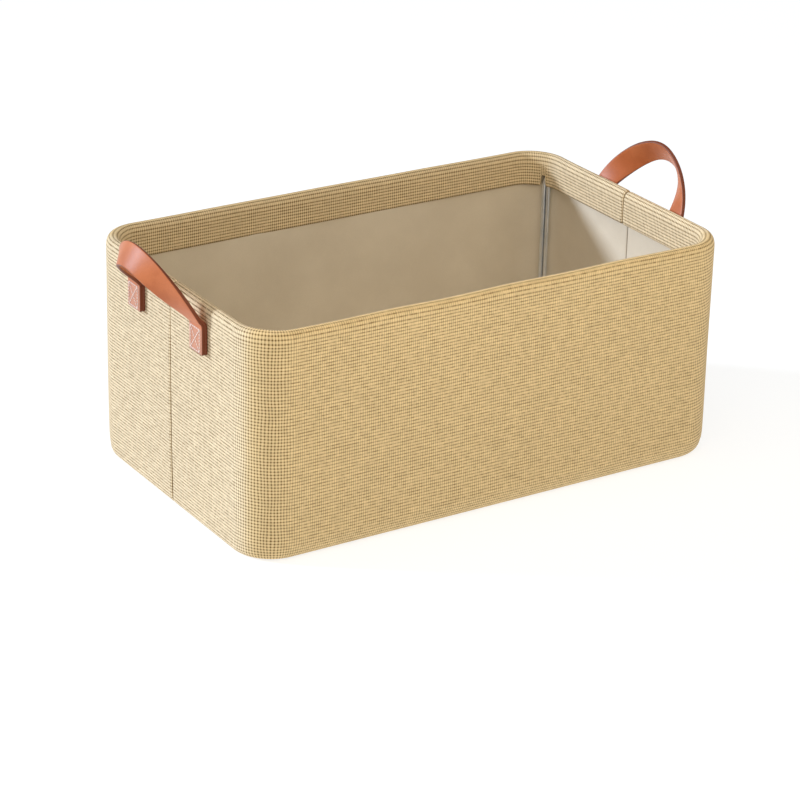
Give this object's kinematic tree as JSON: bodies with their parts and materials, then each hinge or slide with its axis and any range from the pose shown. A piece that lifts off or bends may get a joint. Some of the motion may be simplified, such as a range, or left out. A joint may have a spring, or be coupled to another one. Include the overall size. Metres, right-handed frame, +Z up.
{
  "type": "fabric storage bin",
  "caption": "Rectangular soft storage bin, open at the top, with a woven cover, smooth liner, fold-down steel end frames and a strap handle on each end.",
  "frame": {"origin": "middle of the underside, on the floor", "axes": "+X along the bin's length towards its right end, +Y towards the back wall, +Z up; the front wall faces -Y"},
  "size_m": [0.5521, 0.28, 0.2426],
  "materials": {
    "woven_cover": "open plain weave, matt",
    "coated_liner": "smooth coated cloth, low sheen",
    "stiffener_board": "raw fibreboard",
    "steel_rod": "bright plated steel rod",
    "strap": "smooth tan leather-look strap, semi-matt",
    "strap_thread": "pale thread"
  },
  "bodies": {
    "bin": {"cover_front_half": "woven_cover", "cover_back_half": "woven_cover", "cover_base": "woven_cover", "band_front_half": "woven_cover", "band_back_half": "woven_cover", "liner_front_half": "coated_liner", "liner_back_half": "coated_liner", "liner_floor": "coated_liner", "board_front": "stiffener_board", "board_back": "stiffener_board", "board_left_front": "stiffener_board", "board_left_back": "stiffener_board", "board_right_front": "stiffener_board", "board_right_back": "stiffener_board", "base_board": "stiffener_board", "rim_wire_front": "steel_rod", "rim_wire_back": "steel_rod", "rim_ferrule_left": "steel_rod", "rim_ferrule_right": "steel_rod", "left_floor_sleeve_front": "coated_liner", "left_floor_sleeve_back": "coated_liner", "left_handle_foot_front": "strap", "left_handle_stitch_front": "strap_thread", "left_handle_patch_front": "coated_liner", "left_handle_foot_back": "strap", "left_handle_stitch_back": "strap_thread", "left_handle_patch_back": "coated_liner", "right_floor_sleeve_front": "coated_liner", "right_floor_sleeve_back": "coated_liner", "right_handle_foot_front": "strap", "right_handle_stitch_front": "strap_thread", "right_handle_patch_front": "coated_liner", "right_handle_foot_back": "strap", "right_handle_stitch_back": "strap_thread", "right_handle_patch_back": "coated_liner"},
    "left_frame": {"left_frame_outer_rod": "steel_rod", "left_frame_inner_rod": "steel_rod", "left_frame_clip_front": "steel_rod", "left_frame_clip_back": "steel_rod"},
    "left_handle": {"left_handle_strap": "strap"},
    "right_frame": {"right_frame_outer_rod": "steel_rod", "right_frame_inner_rod": "steel_rod", "right_frame_clip_front": "steel_rod", "right_frame_clip_back": "steel_rod"},
    "right_handle": {"right_handle_strap": "strap"}
  },
  "joints": [
    {"name": "left_frame_fold", "type": "hinge", "parent": "bin", "child": "left_frame", "pos_m": [-0.22195, 0, 0.0087], "axis": [0, 1, 0], "range_deg": [0, 90], "deforming": ["band_front_half", "band_back_half"]},
    {"name": "right_frame_fold", "type": "hinge", "parent": "bin", "child": "right_frame", "pos_m": [0.22195, 0, 0.0087], "axis": [0, -1, 0], "range_deg": [0, 90], "deforming": ["band_front_half", "band_back_half"]},
    {"name": "left_handle_swing", "type": "hinge", "parent": "bin", "child": "left_handle", "pos_m": [-0.2411, 0, 0.185], "axis": [0, -1, 0], "range_deg": [-26, 129], "stiffness_Nm_per_rad": 0.06},
    {"name": "right_handle_swing", "type": "hinge", "parent": "bin", "child": "right_handle", "pos_m": [0.2411, 0, 0.185], "axis": [0, 1, 0], "range_deg": [-23, 132], "stiffness_Nm_per_rad": 0.06}
  ]
}
